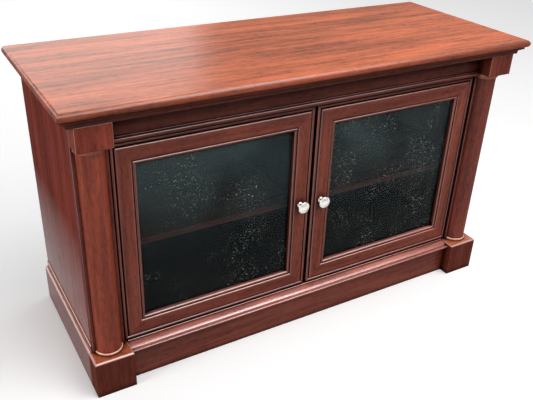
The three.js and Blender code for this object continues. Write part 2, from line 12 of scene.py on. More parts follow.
import bpy
from mathutils import Euler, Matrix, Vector


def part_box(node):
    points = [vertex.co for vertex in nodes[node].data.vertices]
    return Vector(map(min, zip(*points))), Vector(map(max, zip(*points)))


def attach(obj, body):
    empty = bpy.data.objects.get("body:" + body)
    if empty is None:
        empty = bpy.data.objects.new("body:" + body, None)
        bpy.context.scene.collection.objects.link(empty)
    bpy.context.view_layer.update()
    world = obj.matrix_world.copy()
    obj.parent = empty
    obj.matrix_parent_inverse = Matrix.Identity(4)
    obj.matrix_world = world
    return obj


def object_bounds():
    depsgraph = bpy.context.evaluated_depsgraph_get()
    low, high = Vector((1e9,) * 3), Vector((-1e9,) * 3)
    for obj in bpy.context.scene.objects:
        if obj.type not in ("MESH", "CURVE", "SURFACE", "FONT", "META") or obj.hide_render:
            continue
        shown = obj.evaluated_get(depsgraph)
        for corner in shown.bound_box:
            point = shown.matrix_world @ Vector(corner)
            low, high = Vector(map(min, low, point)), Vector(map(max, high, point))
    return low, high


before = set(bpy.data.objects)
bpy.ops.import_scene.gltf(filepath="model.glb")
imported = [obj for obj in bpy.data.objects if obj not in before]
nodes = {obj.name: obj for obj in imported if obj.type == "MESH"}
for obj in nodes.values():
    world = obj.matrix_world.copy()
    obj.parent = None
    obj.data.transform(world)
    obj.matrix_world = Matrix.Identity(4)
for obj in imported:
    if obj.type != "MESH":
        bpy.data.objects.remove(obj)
frame_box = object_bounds()
print("pieces in the frame:", len(nodes))

# %% [markdown]
# Units
#
# Blender works in metres, and furniture is measured in millimetres, so every small length below
# is written as a number of millimetres times MM. Places in the room stay in metres.

# %% Lengths in millimetres
MM = 0.001
lengths = [round((high - low) / MM) for low, high in zip(*frame_box)]
print("width, depth and height of the console in mm:", lengths)

# %% [markdown]
# How a finish is wired
#
# A material in Blender is a set of nodes with wires between their sockets. Every finish here
# starts as a new material with its Principled shader. The nodes could be placed by hand in the
# editor, but a short function for each kind of node lets one finish be read like a recipe.
#
# Patterns are placed by Object coordinates. They belong to the piece itself, so the grain of a
# door stays on the door when it opens.

# %% A new finish, its wires and its place
def link(tree, source, target):
    tree.links.new(source, target)


def blank(name):
    material = bpy.data.materials.new(name)
    material.use_nodes = True
    return material, material.node_tree, material.node_tree.nodes["Principled BSDF"]


def coordinates(tree, kind="Object"):
    """Object gives the place of a point on its own piece, and Normal the way it faces."""
    return tree.nodes.new("ShaderNodeTexCoord").outputs[kind]


def taken_apart(tree, vector):
    """The three numbers of a place or a direction, by name: X, Y and Z."""
    node = tree.nodes.new("ShaderNodeSeparateXYZ")
    link(tree, vector, node.inputs["Vector"])
    return node.outputs


print("finishes so far:", len(bpy.data.materials))

# %% [markdown]
# Arithmetic between nodes
#
# The layers of a finish are numbers from 0 to 1, and they meet in simple sums: multiply two of
# them, take the greater one, or add several by their shares. A noise hardly ever comes near 0
# or 1, so its middle is stretched to the full range before it is used.

# %% Sums of layers
def combined(tree, operation, first, second):
    node = tree.nodes.new("ShaderNodeMath")
    node.operation = operation
    link(tree, first, node.inputs[0])
    link(tree, second, node.inputs[1])
    return node.outputs["Value"]


def product(tree, first, second):
    return combined(tree, "MULTIPLY", first, second)


def greater(tree, first, second):
    return combined(tree, "MAXIMUM", first, second)


def stretched(tree, value, low, high, to_low=0.0, to_high=1.0):
    """Maps the values from low to high to another range, and cuts off what lies outside."""
    node = tree.nodes.new("ShaderNodeMapRange")
    node.inputs["From Min"].default_value = low
    node.inputs["From Max"].default_value = high
    node.inputs["To Min"].default_value = to_low
    node.inputs["To Max"].default_value = to_high
    link(tree, value, node.inputs["Value"])
    return node.outputs["Result"]


def weighted(tree, parts):
    """The sum of several values, each times its share."""
    total = None
    for value, share in parts:
        node = tree.nodes.new("ShaderNodeMath")
        node.operation = "MULTIPLY_ADD"
        node.inputs[1].default_value = share
        node.inputs[2].default_value = 0.0
        link(tree, value, node.inputs[0])
        if total is not None:
            link(tree, total, node.inputs[2])
        total = node.outputs["Value"]
    return total


print("steps between layers: product, greater, stretched, weighted")

# %% [markdown]
# Colours and relief
#
# A number becomes a colour in one of two ways. A Mix node blends two colours, and a Color Ramp
# runs through a row of them. The same number can also lift the surface a little, through a Bump
# node, which changes how the light falls and leaves the mesh alone.

# %% Colours, greys and relief
HALFWAY = 0.5


def mixed(tree, factor, first, second):
    """A colour between two others."""
    node = tree.nodes.new("ShaderNodeMix")
    node.data_type = "RGBA"
    link(tree, factor, node.inputs["Factor"])
    for socket, colour in (("A", first), ("B", second)):
        if isinstance(colour, tuple):
            node.inputs[socket].default_value = (*colour, 1.0)
        else:
            link(tree, colour, node.inputs[socket])
    return node.outputs["Result"]


def ramp(tree, value, stops):
    """A colour read from a row of stops, each a place from 0 to 1 and its colour."""
    node = tree.nodes.new("ShaderNodeValToRGB")
    elements = node.color_ramp.elements
    while len(elements) < len(stops):
        elements.new(HALFWAY)
    for element, (place, colour) in zip(elements, stops):
        element.position = place
        element.color = (*colour, 1.0)
    link(tree, value, node.inputs["Fac"])
    return node.outputs["Color"]


def grey(value):
    return (value, value, value)


def relief(tree, shader, heights, strength, depth):
    bump = tree.nodes.new("ShaderNodeBump")
    bump.inputs["Strength"].default_value = strength
    bump.inputs["Distance"].default_value = depth
    link(tree, heights, bump.inputs["Height"])
    link(tree, bump.outputs["Normal"], shader.inputs["Normal"])


print("a middle grey is:", grey(HALFWAY))

# %% [markdown]
# The grain of cherry
#
# The boards are red cherry. Seen close, the wood has four layers: broad bands of lighter and
# darker red, narrow streaks that run the length of the board, short dark pores, and small flecks
# across the grain. Each layer is one noise texture. A Mapping node squeezes the coordinates
# along the board, which draws the noise out into lines. An image would be quicker to set up, but
# noise stays sharp at any distance and needs no file.

# %% Grain in four layers
LAYERS = {
    "bands": {"squeeze": 0.07, "scale": 17, "detail": 2.0, "wander": 0.8, "share": 0.28},
    "streaks": {"squeeze": 0.07, "scale": 75, "detail": 6.0, "wander": 0.5, "share": 0.31},
    "flecks": {"squeeze": 0.35, "scale": 95, "detail": 3.0, "wander": 1.5, "share": 0.24},
    "pores": {"squeeze": 0.07, "scale": 520, "detail": 2.0, "wander": 0.0, "share": 0.17},
}
SPREADS = {
    "bands": (0.36, 0.64),
    "streaks": (0.36, 0.64),
    "flecks": (0.27, 0.52),
    "pores": (0.30, 0.52),
}


def squeezed(tree, amount, axis, offset):
    """Object coordinates with one axis squeezed, so that a noise on them runs along it."""
    mapping = tree.nodes.new("ShaderNodeMapping")
    scale = [1.0, 1.0, 1.0]
    scale["XYZ".index(axis)] = amount
    mapping.inputs["Scale"].default_value = scale
    mapping.inputs["Location"].default_value = (offset, offset, offset)
    link(tree, coordinates(tree), mapping.inputs["Vector"])
    return mapping.outputs["Vector"]


def noise(tree, vector, scale, detail, wander=0.0):
    texture = tree.nodes.new("ShaderNodeTexNoise")
    texture.inputs["Scale"].default_value = scale
    texture.inputs["Detail"].default_value = detail
    texture.inputs["Distortion"].default_value = wander
    link(tree, vector, texture.inputs["Vector"])
    return texture.outputs["Fac"]


def grain(tree, axis, offset):
    """The tone of the wood, from 0 for the darkest to 1 for the lightest, and its pores."""
    found = {}
    shares = []
    for name, layer in LAYERS.items():
        place = squeezed(tree, layer["squeeze"], axis, offset)
        found[name] = noise(tree, place, layer["scale"], layer["detail"], layer["wander"])
        shares.append((stretched(tree, found[name], *SPREADS[name]), layer["share"]))
    return weighted(tree, shares), found["pores"]


print("layers of the grain:", ", ".join(LAYERS))

# %% [markdown]
# Painted light and shade in the colour
#
# Three marks of light and shade are painted into the colour. Faces that look up, such as the top
# and the shoulders of the mouldings, are painted in a second, lighter set of tones, as painted
# light from the sky and painted highlights on the shoulders.
# Upright corners are painted pale, as a painted highlight line. And a dark colour is painted in
# the quirks and under the overhangs, as painted shade.
#
# The first two come from the way a point faces: its normal's Z says how far it looks up, and on
# an upright corner the normal lies between the X and Y axes. The normal is the piece's own, so
# that an open door keeps its colours. An Ambient Occlusion node finds the grooves.

# %% Painted skylight, painted corner highlights and painted shade
SKYLIT_TONES = ((0.14, 0.035, 0.014), (0.385, 0.091, 0.034), (0.62, 0.146, 0.054))
TONE_PLACES = (0.2, 0.55, 0.9)
SKYLIGHT_SLOPES = (0.2, 0.95)
PAINTED_SHADE = (0.010, 0.003, 0.002)
PAINTED_CORNER_HIGHLIGHT = (0.50, 0.25, 0.20)
CORNER = (0.02, 0.18)
GROOVE = (0.38, 0.93)
GROOVE_SAMPLES = 8
RIM_HIGHLIGHT_STOPS = ((0.15, grey(0.0)), (0.35, grey(1.0)), (0.90, grey(1.0)), (0.98, grey(0.0)))


def toned(tree, tone, tones):
    return ramp(tree, tone, list(zip(TONE_PLACES, tones)))


def upright_corner(tree, facing):
    """0 on a face along X or Y, and up to a quarter on a corner between them."""
    between = product(tree, facing["X"], facing["Y"])
    return product(tree, between, between)


def open_to_light(tree, reach):
    """0 in a corner or a groove, and 1 on a face that nothing within reach stands over."""
    node = tree.nodes.new("ShaderNodeAmbientOcclusion")
    node.samples = GROOVE_SAMPLES
    node.inputs["Distance"].default_value = reach
    return stretched(tree, node.outputs["AO"], *GROOVE)


print("faded tones:", SKYLIT_TONES)

# %% [markdown]
# Lacquer
#
# The clear lacquer is the shader's coat, whose weight says how much of it there is. It is thin
# on upright faces, where it ran down while it was wet, and it gathers on the rounded shoulders
# and on the eased corners, which catch a bright line. Four weights set it by how far a point
# looks up: on upright faces, on shoulders, on crests and on level faces. The side panels also
# get glossier towards the foot. One coat weight for a whole board would be simpler, but then the
# corners shine no more than the flat, and the board looks like plastic.

# %% Lacquer by slope, and at the foot
SLOPES = (0.10, 0.40, 0.88, 0.99)
LACQUER_IOR = 2.1
THIN_LACQUER_IOR = 1.5
FOOT_GLOSS_HEIGHTS = (0.42, 0.12)


def lacquer_by_slope(tree, looks_up, weights):
    return ramp(tree, looks_up, [(slope, grey(weight)) for slope, weight in zip(SLOPES, weights)])


def lacquer_at_foot(tree, weight):
    height = taken_apart(tree, coordinates(tree))["Z"]
    return stretched(tree, height, *FOOT_GLOSS_HEIGHTS, 0.0, weight)


print("the lacquer's slopes:", SLOPES)

# %% [markdown]
# A cherry finish
#
# One function makes the finish of any board. It takes the axis that the grain runs along and
# the board's own three tones, and its other settings are the amounts of what the last cells
# describe:
#
# - skylit and skylight_slopes: the tones painted on faces that look up, as painted light, and
#   how far up they have to look
# - rim_highlight: a pale colour painted on a rounded upper edge, as a painted highlight
# - corner_highlight: how pale upright corners are painted, as a painted highlight
# - reach: how far from a corner or groove the painted shade reaches
# - lacquer, shoulder, crest and flat: the coat on upright faces, shoulders, crests and level faces
# - edge and foot_gloss: the coat on upright corners and at the foot of the board
# - matt and ior: how dull and how strong the coat's mirror image is
# - offset: another part of the same noise, so that two boards don't share their grain

# %% A cherry finish whose grain runs along a chosen axis
BARE_ROUGHNESS = 0.6
PORE_STRENGTH = 0.25
PORE_DEPTH = 0.15 * MM


def cherry(
    name,
    axis,
    tones,
    skylit=SKYLIT_TONES,
    skylight_slopes=SKYLIGHT_SLOPES,
    rim_highlight=None,
    corner_highlight=0.5,
    reach=20 * MM,
    lacquer=0.1,
    shoulder=1.0,
    crest=1.0,
    flat=1.0,
    edge=0.5,
    foot_gloss=0.0,
    matt=0.2,
    ior=LACQUER_IOR,
    offset=0.0,
):
    material, tree, shader = blank(name)
    tone, pores = grain(tree, axis, offset)
    facing = taken_apart(tree, coordinates(tree, "Normal"))
    looks_up = facing["Z"]
    corner = upright_corner(tree, facing)
    lit = open_to_light(tree, reach)

    # Faces that look up are painted in the lighter tones, as painted light from the sky.
    painted_skylight = stretched(tree, looks_up, *skylight_slopes)
    colour = mixed(tree, painted_skylight, toned(tree, tone, tones), toned(tree, tone, skylit))
    # A rounded upper edge is painted pale here, as a painted highlight.
    if rim_highlight:
        colour = mixed(tree, ramp(tree, looks_up, RIM_HIGHLIGHT_STOPS), colour, rim_highlight)
    # Upright corners are painted pale, as a painted highlight.
    colour = mixed(tree, stretched(tree, corner, *CORNER, 0.0, corner_highlight), colour, PAINTED_CORNER_HIGHLIGHT)
    # Corners, grooves and the faces under overhangs are painted dark here, as painted shade.
    link(tree, mixed(tree, lit, PAINTED_SHADE, colour), shader.inputs["Base Color"])

    coat = lacquer_by_slope(tree, looks_up, (lacquer, shoulder, crest, flat))
    coat = greater(tree, coat, stretched(tree, corner, *CORNER, 0.0, edge))
    if foot_gloss:
        coat = greater(tree, coat, lacquer_at_foot(tree, foot_gloss))
    link(tree, product(tree, coat, lit), shader.inputs["Coat Weight"])

    shader.inputs["Roughness"].default_value = BARE_ROUGHNESS
    shader.inputs["Specular IOR Level"].default_value = 0.0
    shader.inputs["Coat Roughness"].default_value = matt
    shader.inputs["Coat IOR"].default_value = ior
    relief(tree, shader, pores, PORE_STRENGTH, PORE_DEPTH)
    return material


print("pores of", PORE_DEPTH / MM, "mm in every cherry board")

# %% [markdown]
# The top and the frieze under it
#
# The top is the part of the console that the light reaches first, and the most orange. Its
# level face is painted in full in the lighter tones of painted light, while its round edge keeps
# the red, so the painted light covers only where it looks almost straight up. The cornice and the
# frieze hang under it in its shadow, and their tones are painted darker as painted shade, with
# the painted shade reaching far up their wide hollow.

# %% Cherry for the top, the cornice and the frieze
TOP_EDGE_TONES = ((0.10, 0.022, 0.010), (0.24, 0.054, 0.026), (0.42, 0.092, 0.044))
TOP_SKYLIGHT_SLOPES = (0.70, 1.0)
# The frieze tones are painted darker than the case, as painted shade under the top.
FRIEZE_IN_SHADE = {
    "tones": ((0.045, 0.010, 0.006), (0.11, 0.026, 0.017), (0.18, 0.044, 0.030)),
    "skylit": ((0.06, 0.018, 0.013), (0.14, 0.042, 0.032), (0.22, 0.070, 0.054)),
    "reach": 60 * MM,
    "lacquer": 0.05,
    "shoulder": 0.3,
}
top_wood = cherry(
    "top_cherry", "X", TOP_EDGE_TONES, skylight_slopes=TOP_SKYLIGHT_SLOPES, shoulder=0.25, crest=0.5, flat=0.36, matt=0.26
)
frieze_long = cherry("frieze_cherry_long", "X", **FRIEZE_IN_SHADE)
frieze_deep = cherry("frieze_cherry_deep", "Y", **FRIEZE_IN_SHADE)
print("finished:", top_wood.name, frieze_long.name, frieze_deep.name)

# %% [markdown]
# The case
#
# The base rail and its moulding run along X, the skirts at the foot of the sides along Y, and
# the side panels and pilasters stand up along Z. A board's grain follows its length, so each
# direction has a finish of its own. The faces of the base moulding that look up are painted
# lighter, as painted light. The sides are glossy only near the foot, and their skirts have a thin
# lacquer all over and a cap painted pale, as a painted highlight.

# %% Cherry for the case
CASE_TONES = ((0.07, 0.014, 0.008), (0.16, 0.036, 0.022), (0.25, 0.060, 0.038))
BASE_SKYLIT = ((0.216, 0.066, 0.048), (0.480, 0.150, 0.114), (0.720, 0.234, 0.180))
SIDE_TONES = ((0.066, 0.012, 0.007), (0.155, 0.027, 0.017), (0.25, 0.045, 0.030))
SKIRT_RIM_HIGHLIGHT = (0.86, 0.50, 0.44)
# Pale tones for mouldings that look up, painted as highlights on their shoulders.
MOULDING_HIGHLIGHT_TONES = ((0.23, 0.082, 0.064), (0.49, 0.187, 0.150), (0.73, 0.285, 0.230))
PILASTER_TONES = ((0.06, 0.013, 0.009), (0.14, 0.032, 0.024), (0.23, 0.054, 0.041))
case_long = cherry("case_cherry_long", "X", CASE_TONES, BASE_SKYLIT)
case_deep = cherry(
    "case_cherry_deep",
    "Y",
    SIDE_TONES,
    BASE_SKYLIT,
    rim_highlight=SKIRT_RIM_HIGHLIGHT,
    reach=5 * MM,
    lacquer=0.6,
    ior=THIN_LACQUER_IOR,
    offset=3.1,
)
case_tall = cherry(
    "case_cherry_tall",
    "Z",
    SIDE_TONES,
    MOULDING_HIGHLIGHT_TONES,
    lacquer=0.03,
    foot_gloss=0.75,
    ior=THIN_LACQUER_IOR,
)
pilaster_tall = cherry(
    "pilaster_cherry_tall", "Z", PILASTER_TONES, corner_highlight=0.9, reach=28 * MM, lacquer=0.06, edge=1.0
)
print("finished:", case_long.name, case_deep.name, case_tall.name, pilaster_tall.name)

# %% [markdown]
# The doors
#
# Rails and stiles meet in mitres, so the grain has to turn a corner there, as on real frames.
# Two finishes with the same tones do that: one for the rails and one for the stiles. The
# shoulders of the mouldings are painted in quite pale tones, as painted highlights.

# %% Cherry for the doors
DOOR = {
    "tones": ((0.087, 0.020, 0.012), (0.182, 0.043, 0.027), (0.278, 0.069, 0.044)),
    "skylit": MOULDING_HIGHLIGHT_TONES,
    "lacquer": 0.07,
    "offset": 1.7,
}
door_long = cherry("door_cherry_long", "X", **DOOR, reach=24 * MM)
door_tall = cherry("door_cherry_tall", "Z", **DOOR, corner_highlight=0.12)
print("finished:", door_long.name, door_tall.name)

# %% [markdown]
# The corner columns
#
# Each column stands between a plinth block and a capital block, with a turned ring at its foot
# and a collar at its neck. The left column and its capital are painted lighter and more orange,
# as painted light from the left, and the right ones are painted darker, as painted shade. The
# rings and collars are painted pale, as painted highlights, and the plinth blocks are painted the
# deepest red, as painted shade near the floor, with a painted highlight on their top edge.

# %% Cherry for the columns, capitals, rings and plinths
# The left column and capital are painted lighter, as painted light from the left, and their right
# copies darker, as painted shade.
CAPITAL_TONES = ((0.10, 0.018, 0.010), (0.22, 0.040, 0.024), (0.32, 0.062, 0.037))
CAPITAL_SHADED = ((0.08, 0.016, 0.009), (0.18, 0.037, 0.023), (0.27, 0.056, 0.035))
COLUMN_TONES = ((0.14, 0.026, 0.014), (0.25, 0.048, 0.025), (0.38, 0.073, 0.039))
COLUMN_SHADED = ((0.06, 0.013, 0.009), (0.15, 0.032, 0.021), (0.26, 0.055, 0.036))
# The rings and collars are painted pale and orange, as painted highlights.
RING_LIT_TONES = ((0.20, 0.055, 0.030), (0.42, 0.12, 0.065), (0.60, 0.18, 0.10))
RING_SKYLIT = ((0.45, 0.17, 0.11), (0.66, 0.27, 0.19), (0.80, 0.37, 0.28))
RING_RIM_HIGHLIGHT = (0.88, 0.46, 0.34)
# The plinth blocks are painted the deepest red, as painted shade near the floor, with a painted
# highlight on their top edge.
PLINTH_SHADE_TONES = ((0.05, 0.009, 0.004), (0.11, 0.020, 0.010), (0.17, 0.033, 0.017))
PLINTH_RIM_HIGHLIGHT = (0.60, 0.29, 0.24)
ROUND = {"corner_highlight": 0.0, "reach": 5 * MM, "edge": 0.1}
capital_tall = cherry("capital_cherry_tall", "Z", CAPITAL_TONES, lacquer=0.06)
capital_shaded = cherry("capital_cherry_shaded", "Z", CAPITAL_SHADED, lacquer=0.06)
column_tall = cherry("column_cherry_tall", "Z", COLUMN_TONES, **ROUND)
column_shaded = cherry("column_cherry_shaded", "Z", COLUMN_SHADED, **ROUND)
ring_wood = cherry(
    "ring_cherry", "X", RING_LIT_TONES, RING_SKYLIT, rim_highlight=RING_RIM_HIGHLIGHT, corner_highlight=0.0, reach=3 * MM, edge=0.2
)
plinth_tall = cherry("plinth_cherry_tall", "Z", PLINTH_SHADE_TONES, rim_highlight=PLINTH_RIM_HIGHLIGHT, lacquer=0.06)
print("finished:", capital_tall.name, column_tall.name, ring_wood.name, plinth_tall.name)

# %% [markdown]
# The inside
#
# The inside is painted almost black-brown and nearly dull, as painted shade behind the glass,
# and it gets no painted light on faces that look up. The shelves' front edges are painted
# lighter, as painted light, since they are the one part of the inside that shows as a line
# through the glass.

# %% Cherry for the inside
INSIDE_SHADE_TONES = ((0.02, 0.008, 0.006), (0.035, 0.014, 0.011), (0.055, 0.022, 0.017))
SHELF_EDGE_LIT_TONES = ((0.24, 0.080, 0.062), (0.46, 0.160, 0.126), (0.70, 0.250, 0.200))
SHELF_TOP_TONES = ((0.08, 0.028, 0.022), (0.15, 0.054, 0.043), (0.23, 0.085, 0.068))
INSIDE = {"tones": INSIDE_SHADE_TONES, "skylit": INSIDE_SHADE_TONES, "corner_highlight": 0.0, "lacquer": 0.03}
inside_long = cherry("inside_cherry_long", "X", **INSIDE)
inside_tall = cherry("inside_cherry_tall", "Z", **INSIDE, edge=0.0)
shelf_long = cherry("shelf_cherry_long", "X", SHELF_EDGE_LIT_TONES, SHELF_TOP_TONES, lacquer=0.03)
print("cherry finishes in all:", len(bpy.data.materials))

# %% [markdown]
# Back board, nickel, steel and plastic
#
# The back is thin dark hardboard with a fibrous look. The knobs are satin nickel, whose gloss
# varies a little where hands have polished it. The hinges are plated steel, and the cable covers
# and the glass retainers are soft black plastic. One speckled finish serves all four: a noise
# drives the colour, the roughness and the relief together, as it does on the real surfaces,
# where a low grain is both darker and duller.

# %% Speckled finishes
SPECKLE_DETAIL = 4.0
SPECKLE_SPREAD = (0.3, 0.7)
GLOSS_SWING = 0.06
SPECKLE_STRENGTH = 0.3
SPECKLE_DEPTH = 0.05 * MM


def speckled(name, tones, scale, roughness, metallic=0.0):
    material, tree, shader = blank(name)
    grains = noise(tree, coordinates(tree), scale, SPECKLE_DETAIL)
    colour = ramp(tree, grains, list(zip(SPECKLE_SPREAD, tones)))
    link(tree, colour, shader.inputs["Base Color"])
    glossy = roughness - GLOSS_SWING
    dull = roughness + GLOSS_SWING
    gloss = stretched(tree, grains, *SPECKLE_SPREAD, glossy, dull)
    link(tree, gloss, shader.inputs["Roughness"])
    shader.inputs["Metallic"].default_value = metallic
    relief(tree, shader, grains, SPECKLE_STRENGTH, SPECKLE_DEPTH)
    return material


HARDBOARD_TONES = ((0.040, 0.022, 0.015), (0.055, 0.030, 0.021))
NICKEL_TONES = ((0.68, 0.66, 0.61), (0.84, 0.82, 0.77))
STEEL_TONES = ((0.50, 0.51, 0.52), (0.62, 0.62, 0.63))
PLASTIC_TONES = (grey(0.012), grey(0.02))
hardboard = speckled("hardboard", HARDBOARD_TONES, scale=45, roughness=0.8)
nickel = speckled("satin_nickel", NICKEL_TONES, scale=160, roughness=0.28, metallic=1.0)
steel = speckled("plated_steel", STEEL_TONES, scale=220, roughness=0.32, metallic=1.0)
plastic = speckled("black_plastic", PLASTIC_TONES, scale=400, roughness=0.5)
print("finished:", hardboard.name, nickel.name, steel.name, plastic.name)

# %% [markdown]
# Glass
#
# The panes are plain glass with a grey-green film of haze and some dust. A full glass shader
# would bend the light twice in each pane and leave the cabinet noisy and dark, so the pane is
# half see-through instead, and its colour is the colour of the film. The film is painted lighter
# higher up, in patches, which is partly haze and partly a painted reflection of the sky. The
# dust is a fine noise, of which only the peaks pass a threshold, and it lies in drifts. A low
# IOR keeps the mirror image faint.

# %% Hazy glass with dust
GLASS_FILM = (0.001, 0.005, 0.006)
GLASS_HAZE_AND_REFLECTION = (0.070, 0.108, 0.110)
GLASS_COVER = 0.5
GLASS_ROUGHNESS = 0.04
GLASS_IOR = 1.19
REFLECTION_HEIGHTS = (0.28, 0.56)
PATCHES = {"scale": 5, "detail": 1.0, "wander": 0.4}
PATCH_SPREAD = (0.38, 0.62)
THINNEST_PATCH = 0.25
DUST = (0.36, 0.34, 0.28)
DUST_SPECKS = {"scale": 270, "detail": 1.0}
DUST_PEAKS = (0.65, 0.75)
DUST_DRIFTS = {"scale": 9, "detail": 2.0}
DRIFT_SPREAD = (0.34, 0.62)


def pane_glass():
    material, tree, shader = blank("pane_glass")
    place = coordinates(tree)
    # The film is painted lighter higher up, partly as haze and partly as a painted reflection of
    # the sky.
    painted_reflection = stretched(tree, taken_apart(tree, place)["Z"], *REFLECTION_HEIGHTS)
    patches = stretched(tree, noise(tree, place, **PATCHES), *PATCH_SPREAD, THINNEST_PATCH, 1.0)
    haze_and_reflection = mixed(tree, product(tree, painted_reflection, patches), GLASS_FILM, GLASS_HAZE_AND_REFLECTION)
    peaks = stretched(tree, noise(tree, place, **DUST_SPECKS), *DUST_PEAKS)
    drifts = stretched(tree, noise(tree, place, **DUST_DRIFTS), *DRIFT_SPREAD)
    specks = product(tree, peaks, drifts)
    link(tree, mixed(tree, specks, haze_and_reflection, DUST), shader.inputs["Base Color"])
    link(tree, stretched(tree, specks, 0.0, 1.0, GLASS_COVER, 1.0), shader.inputs["Alpha"])
    shader.inputs["Roughness"].default_value = GLASS_ROUGHNESS
    shader.inputs["IOR"].default_value = GLASS_IOR
    return material


glass = pane_glass()
print("the glass covers", GLASS_COVER, "of what is behind it")

# %% [markdown]
# Dressing the frame's pieces
#
# A piece of the frame arrives as loose flat triangles. Three modifiers turn it into a surface
# that takes light well, and leave its own mesh alone: Weld joins the triangles, Bevel breaks
# each sharp edge as sandpaper would, and Weighted Normal keeps the broad faces flat in the
# shading while the small roundings stay smooth.

# %% Weld, break the edges and smooth
EASED = 0.9 * MM
EASED_SMALL = 0.3 * MM
EASED_ROUNDS = 2
WELD = 0.02 * MM
SHARP = math.radians(32)


def dress(name, material, eased=EASED):
    piece = nodes[name]
    piece.data.polygons.foreach_set("use_smooth", [True] * len(piece.data.polygons))
    piece.data.materials.clear()
    piece.data.materials.append(material)
    weld = piece.modifiers.new("weld", "WELD")
    weld.merge_threshold = WELD
    bevel = piece.modifiers.new("eased_edges", "BEVEL")
    bevel.width = eased
    bevel.segments = EASED_ROUNDS
    bevel.limit_method = "ANGLE"
    bevel.angle_limit = SHARP
    normals = piece.modifiers.new("flat_faces", "WEIGHTED_NORMAL")
    normals.keep_sharp = False


print("edges are broken by", EASED / MM, "mm, and by", EASED_SMALL / MM, "mm on fittings")

# %% [markdown]
# Which piece gets which finish
#
# The frame's pieces are found by name, so a list of names with their finishes is all that is
# needed, and it reads like a cutting list. Pieces that come as a left and a right one are listed
# without their side. The corner posts and blocks are softened more than the boards, because
# they are knocked more, and the right column and its capital get copies painted darker, as
# painted shade.

# %% The list of finishes
SINGLE = {
    "top_panel": top_wood,
    "cornice_front": frieze_long,
    "cornice_left": frieze_deep,
    "cornice_right": frieze_deep,
    "rear_top_rail": inside_long,
    "frieze_rail": frieze_long,
    "frieze_moulding": frieze_long,
    "base_rail": case_long,
    "base_moulding": case_long,
    "bottom_panel": inside_long,
    "centre_upright": inside_tall,
    "back_panel": hardboard,
}
PAIRED = {
    "plinth_block": plinth_tall,
    "base_ring": ring_wood,
    "column": column_tall,
    "column_collar": ring_wood,
    "capital_block": capital_tall,
    "pilaster": pilaster_tall,
    "side_panel": case_tall,
    "side_skirt": case_deep,
    "shelf": shelf_long,
    "door_bottom_rail": door_long,
    "door_top_rail": door_long,
    "door_hinge_stile": door_tall,
    "door_meeting_stile": door_tall,
}
SHADED_RIGHT = {"column": column_shaded, "capital_block": capital_shaded}
WIDE_EASED = {"pilaster": 2.6 * MM, "plinth_block": 2.4 * MM, "capital_block": 1.4 * MM}
SMALL = {"door_knob": nickel, "door_glass": glass, "glass_retainer": plastic}
print("single pieces and kinds of pair:", len(SINGLE), len(PAIRED) + len(SMALL))

# %% [markdown]
# Dress every piece
#
# Hinges and shelf pins stand in sets, so their names are put together from the side, the height
# and the wall they are on. Loops over those words reach each piece once, which is safer than
# typing sixteen names.

# %% Dress every piece
SIDES = ("left", "right")
for name, material in SINGLE.items():
    dress(name, material)
for side in SIDES:
    for name, material in PAIRED.items():
        finish = SHADED_RIGHT.get(name, material) if side == "right" else material
        dress(f"{name}_{side}", finish, WIDE_EASED.get(name, EASED))
    for name, material in SMALL.items():
        dress(f"{name}_{side}", material, EASED_SMALL)
    for level in ("lower", "upper"):
        dress(f"hinge_cup_{side}_{level}", steel, EASED_SMALL)
        dress(f"hinge_plate_{side}_{level}", steel, EASED_SMALL)
    for wall in ("outer", "inner"):
        for end in ("front", "rear"):
            dress(f"shelf_pin_{side}_{wall}_{end}", nickel, EASED_SMALL)
print("dressed:", sum(bool(piece.modifiers) for piece in nodes.values()))

# %% [markdown]
# Cable covers
#
# A cable hole in a thin back board is closed with a soft black cover when nothing runs through
# it, which keeps the dust out. The cover is a plate a little larger than the hole, pressed
# against the inside of the board, and scored into flaps that a plug can push open. One solid
# box with a scored picture on it would show no flaps from the side, so the flaps are modelled.
# Plate and flaps are both moulded blocks with softened edges. Each is shaped in edit mode from a
# cube: resized to its width, thickness and height, and then bevelled all round.

# %% A moulded block
COVER_EDGE = 0.4 * MM
COVER_EDGE_ROUNDS = 2


def eased_block(size, middle):
    bpy.ops.object.select_all(action="DESELECT")
    bpy.ops.mesh.primitive_cube_add(size=1, location=middle)
    block = bpy.context.active_object
    bpy.ops.object.mode_set(mode="EDIT")
    bpy.ops.mesh.select_all(action="SELECT")
    bpy.ops.transform.resize(value=size, center_override=middle)
    bpy.ops.mesh.bevel(offset=COVER_EDGE, segments=COVER_EDGE_ROUNDS)
    bpy.ops.object.mode_set(mode="OBJECT")
    bpy.ops.object.transform_apply(location=True, rotation=True, scale=True)
    return block


print("the covers' edges are eased by", COVER_EDGE / MM, "mm")

# %% [markdown]
# The left cover
#
# The plate lies on the inside of the back board, around the middle of the hole. One flap is
# made at the left end of the row and stands a little proud of the plate. An Array modifier
# repeats it with a narrow score between the flaps, and the row is then joined to the plate.

# %% The left cover
COVER_WIDTH = 100 * MM
COVER_HEIGHT = 65 * MM
PLATE_THICKNESS = 1.6 * MM
FLAPS = 6
FLAP_WIDTH = 13.6 * MM
FLAP_HEIGHT = 54 * MM
FLAP_THICKNESS = 1.6 * MM
FLAP_RISE = 1.0 * MM
SCORE_WIDTH = 1.2 * MM
BACK_FACE_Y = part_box("back_panel")[0][1]
HOLE_MIDDLE_X = 282.15 * MM
HOLE_MIDDLE_Z = 156 * MM


